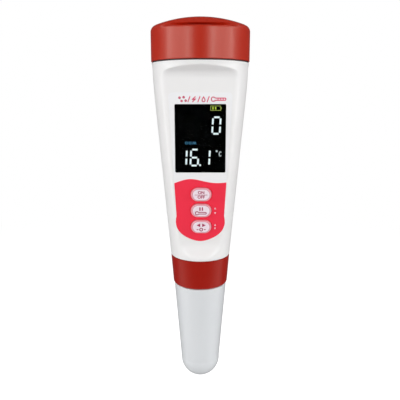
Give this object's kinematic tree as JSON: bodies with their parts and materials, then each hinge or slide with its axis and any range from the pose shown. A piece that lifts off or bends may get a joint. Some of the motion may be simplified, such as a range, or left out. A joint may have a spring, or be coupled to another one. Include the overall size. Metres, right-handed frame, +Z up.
{
  "type": "water quality test pen",
  "caption": "Hand-held water tester: tapered casing with display and keys, screwed battery cap, probe module on a collar ring and a pull-off protective cap.",
  "frame": {"origin": "on the long axis, at the lower edge of the battery cap's straight band, where it meets the casing", "axes": "+Z up the long axis towards the battery cap, -Y out of the front panel towards the reader, +X to the reader's right"},
  "size_m": [0.04, 0.04, 0.1569],
  "materials": {
    "cap_red": "polished red ABS",
    "gasket_black": "black rubber",
    "casing_white": "satin white ABS",
    "label_white": "printed film",
    "label_red": "printed film, pinkish red",
    "key_white": "translucent silicone",
    "window_clear": "clear acrylic over a black display",
    "display_black": "negative display glass",
    "frame_black": "moulded black",
    "diffuser_white": "opal acrylic",
    "strip_grey": "layered elastomer",
    "board_green": "solder mask on glass fibre",
    "chip_black": "moulded epoxy",
    "steel": "bright steel",
    "spring_metal": "nickel plated",
    "gold": "gold plated",
    "tray_grey": "moulded grey",
    "probe_grey": "pale grey ABS",
    "guard_black": "moulded black",
    "sensor_glass": "thin sensing glass",
    "junction_white": "porous plug",
    "protect_white": "satin white polypropylene",
    "sponge_white": "open foam"
  },
  "bodies": {
    "casing": {"casing": "casing_white", "overlay_label": "label_white", "key_field": "label_red", "display_window": "window_clear", "display_frame": "frame_black", "display_glass": "display_black", "display_light": "diffuser_white", "contact_strips": "strip_grey", "main_board": "board_green", "board_screws": "steel", "processor": "chip_black", "signal_amplifier": "chip_black", "key_guide": "frame_black", "key_domes": "spring_metal", "power_terminals": "spring_metal", "board_socket": "frame_black"},
    "battery_tray": {"battery_tray": "tray_grey", "button_cell_1": "steel", "button_cell_2": "steel", "button_cell_3": "steel", "button_cell_4": "steel", "battery_plate": "spring_metal", "battery_spring": "spring_metal"},
    "cap_gasket": {"cap_gasket": "gasket_black"},
    "battery_cap": {"battery_cap": "cap_red"},
    "key_power": {"key_power": "key_white"},
    "key_hold": {"key_hold": "key_white"},
    "key_mode": {"key_mode": "key_white"},
    "probe_module": {"probe_body": "probe_grey", "probe_connector": "gold", "module_seal": "gasket_black", "cap_seal": "gasket_black", "probe_guard": "guard_black", "ph_bulb": "sensor_glass", "conductivity_pins": "steel", "temperature_sensor": "steel", "reference_junction": "junction_white"},
    "collar_ring": {"collar_ring": "cap_red"},
    "protective_cap": {"protective_cap": "protect_white", "storage_sponge": "sponge_white"}
  },
  "joints": [
    {"name": "tray_slide", "type": "slide", "parent": "casing", "child": "battery_tray", "axis": [0, 0, 1], "range_m": [0, 0.03]},
    {"name": "cap_rise", "type": "slide", "parent": "battery_tray", "child": "cap_gasket", "axis": [0, 0, 1], "range_m": [0, 0.009]},
    {"name": "cap_turn", "type": "hinge", "parent": "cap_gasket", "child": "battery_cap", "pos_m": [0, 0, 0], "axis": [0, 0, 1], "range_deg": [0, 540]},
    {"name": "probe_withdraw", "type": "slide", "parent": "casing", "child": "probe_module", "axis": [0, 0, -1], "range_m": [0, 0.0085]},
    {"name": "collar_turn", "type": "hinge", "parent": "probe_module", "child": "collar_ring", "pos_m": [0, 0, -0.088], "axis": [0, 0, -1], "range_deg": [0, 540]},
    {"name": "cap_pull", "type": "slide", "parent": "probe_module", "child": "protective_cap", "axis": [0, 0, -1], "range_m": [0, 0.05]},
    {"name": "key_power_press", "type": "slide", "parent": "casing", "child": "key_power", "axis": [0, 0.9994, 0.034], "range_m": [0, 0.0006], "stiffness_N_per_m": 1500},
    {"name": "key_hold_press", "type": "slide", "parent": "casing", "child": "key_hold", "axis": [0, 0.9994, 0.034], "range_m": [0, 0.0006], "stiffness_N_per_m": 1500},
    {"name": "key_mode_press", "type": "slide", "parent": "casing", "child": "key_mode", "axis": [0, 0.9994, 0.034], "range_m": [0, 0.0006], "stiffness_N_per_m": 1500}
  ],
  "couplings": [
    {"joint": "cap_turn", "follows": "cap_rise", "rad_per_m": 1047.1},
    {"joint": "collar_turn", "follows": "probe_withdraw", "rad_per_m": 1108.7}
  ]
}
